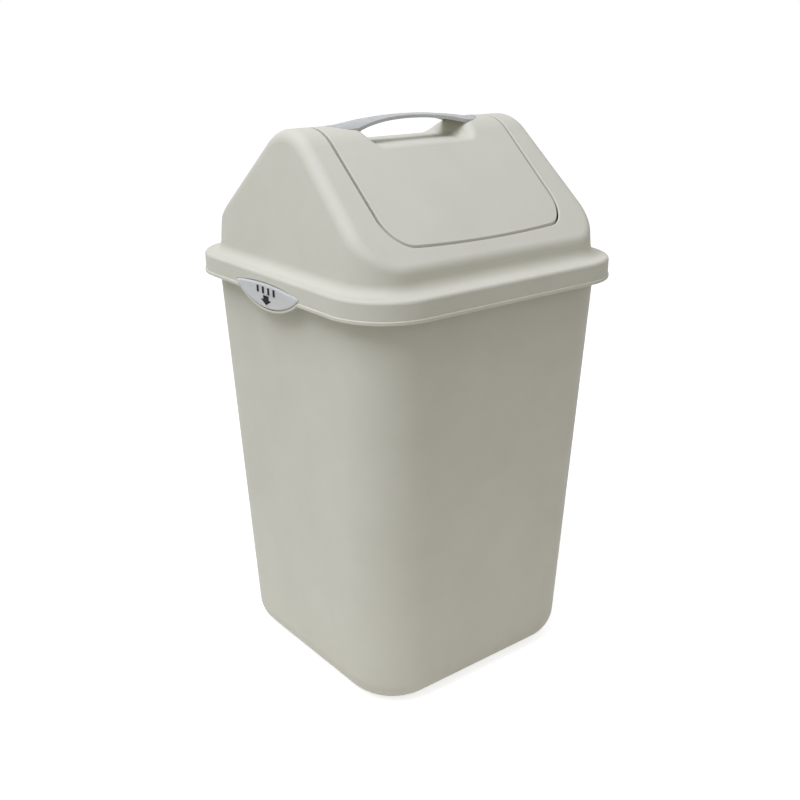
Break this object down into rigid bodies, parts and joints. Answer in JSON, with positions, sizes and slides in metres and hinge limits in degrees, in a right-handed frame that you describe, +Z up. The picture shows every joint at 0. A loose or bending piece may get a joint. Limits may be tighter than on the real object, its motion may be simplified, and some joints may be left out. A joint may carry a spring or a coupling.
{
  "type": "swing-lid trash can",
  "caption": "Tapered rounded-square waste bin with a lift-off hood, a swinging roof flap that carries an arched handle, and rocker latches on the sides.",
  "frame": {"origin": "middle of the flat foot that the bin stands on", "axes": "+Z up, X along the ridge and the handle with the left latch on -X, -Y towards the front slope of the flap"},
  "size_m": [0.2506, 0.2502, 0.4332],
  "materials": {
    "body_plastic": "fine matte moulded texture, warm grey-beige",
    "grey_plastic": "smooth satin, cool light grey",
    "pin_steel": "drawn wire"
  },
  "bodies": {
    "bucket": {"bucket": "body_plastic"},
    "lid": {"lid_hood": "body_plastic", "left_flap_pin": "grey_plastic", "right_flap_pin": "grey_plastic", "left_latch_pin": "pin_steel", "right_latch_pin": "pin_steel"},
    "flap": {"swing_flap": "body_plastic", "carry_handle": "grey_plastic"},
    "left_latch": {"left_latch": "grey_plastic"},
    "right_latch": {"right_latch": "grey_plastic"}
  },
  "joints": [
    {"name": "lid_lift", "type": "slide", "parent": "bucket", "child": "lid", "axis": [0, 0, 1], "range_m": [0, 0.12]},
    {"name": "flap_swing", "type": "hinge", "parent": "lid", "child": "flap", "pos_m": [0, 0, 0.405], "axis": [1, 0, 0], "range_deg": [-60, 60]},
    {"name": "left_latch_rock", "type": "hinge", "parent": "lid", "child": "left_latch", "pos_m": [-0.12065, 0, 0.3195], "axis": [0, -1, 0], "range_deg": [0, 10]},
    {"name": "right_latch_rock", "type": "hinge", "parent": "lid", "child": "right_latch", "pos_m": [0.12065, 0, 0.3195], "axis": [0, 1, 0], "range_deg": [0, 10]}
  ]
}
